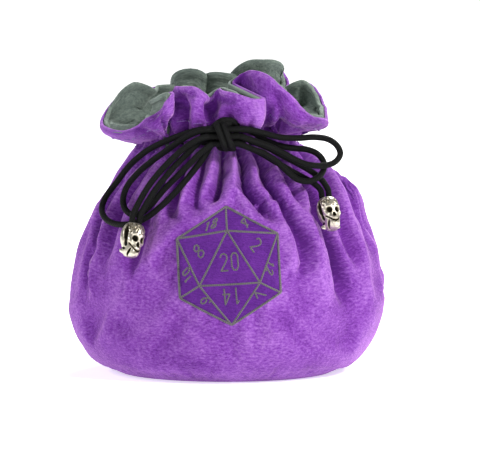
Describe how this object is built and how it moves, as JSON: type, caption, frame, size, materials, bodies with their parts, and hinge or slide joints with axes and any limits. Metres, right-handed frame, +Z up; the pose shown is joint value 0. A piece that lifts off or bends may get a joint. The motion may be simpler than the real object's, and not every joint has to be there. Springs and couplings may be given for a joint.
{
  "type": "drawstring dice bag",
  "caption": "Plush drawstring pouch for gaming dice, with a short-pile lining, an embroidered die on the front and a bow-tied double cord with skull beads.",
  "frame": {"origin": "middle of the base, on the surface that the bag stands on (cords and beads left out)", "axes": "+Z up; the embroidered front with the bow faces -Y; +X to the right seen from the front"},
  "size_m": [0.154, 0.1355, 0.1502],
  "materials": {
    "plush": "short purple minky plush, soft sheen, crushed pile",
    "lining": "short-pile grey-green lining",
    "cord": "round braided black cord, slight sheen",
    "grey_thread": "satin-stitched grey embroidery thread",
    "purple_thread": "purple sewing thread",
    "antique_silver": "antique silver plating with dark recesses"
  },
  "bodies": {
    "bag": {"outer_front_panel": "plush", "outer_back_panel": "plush", "outer_base_panel": "plush", "lining_front_panel": "lining", "lining_back_panel": "lining", "lining_base_panel": "lining", "emblem_ground": "purple_thread", "emblem_lines": "grey_thread", "buttonhole_left": "purple_thread", "buttonhole_right": "purple_thread", "channel_stitch_lower": "purple_thread", "channel_stitch_upper": "purple_thread", "drawcord_a": "cord", "drawcord_b": "cord", "bow_knot": "cord"},
    "left_loops": {"left_outer_loop": "cord", "left_inner_loop": "cord"},
    "left_tail": {"left_tail_cord_a": "cord", "left_tail_cord_b": "cord"},
    "left_stopper": {"left_stopper_knot": "cord"},
    "left_bead": {"left_skull_bead": "antique_silver"},
    "right_tail": {"right_tail_cord_a": "cord", "right_tail_cord_b": "cord"},
    "right_loops": {"right_upper_loop": "cord", "right_lower_loop": "cord"},
    "right_stopper": {"right_stopper_knot": "cord"},
    "right_bead": {"right_skull_bead": "antique_silver"}
  },
  "joints": [
    {"name": "left_loops_lift", "type": "hinge", "parent": "bag", "child": "left_loops", "pos_m": [0, -0.0416, 0.119], "axis": [-0.7369, 0, 0.676], "range_deg": [0, 45]},
    {"name": "left_tail_swing", "type": "hinge", "parent": "left_loops", "child": "left_tail", "pos_m": [0, -0.0416, 0.119], "axis": [-0.7369, 0, 0.676], "range_deg": [0, 60]},
    {"name": "left_cord_twist", "type": "hinge", "parent": "left_tail", "child": "left_stopper", "pos_m": [-0.045, -0.056, 0.0699], "axis": [0.1938, 0.2819, 0.9397], "range_deg": [-90, 90]},
    {"name": "left_bead_slide", "type": "slide", "parent": "left_stopper", "child": "left_bead", "axis": [0.1938, 0.2819, 0.9397], "range_m": [0, 0.0015]},
    {"name": "right_tail_swing", "type": "hinge", "parent": "bag", "child": "right_tail", "pos_m": [0, -0.0416, 0.119], "axis": [-0.475, 0, -0.88], "range_deg": [0, 45]},
    {"name": "right_loops_lift", "type": "hinge", "parent": "right_tail", "child": "right_loops", "pos_m": [0, -0.0416, 0.119], "axis": [-0.475, 0, -0.88], "range_deg": [0, 40]},
    {"name": "right_cord_twist", "type": "hinge", "parent": "right_tail", "child": "right_stopper", "pos_m": [0.0502, -0.0459, 0.0814], "axis": [-0.1879, 0.4579, 0.8689], "range_deg": [-90, 90]},
    {"name": "right_bead_slide", "type": "slide", "parent": "right_stopper", "child": "right_bead", "axis": [-0.1879, 0.4579, 0.8689], "range_m": [0, 0.004]}
  ]
}
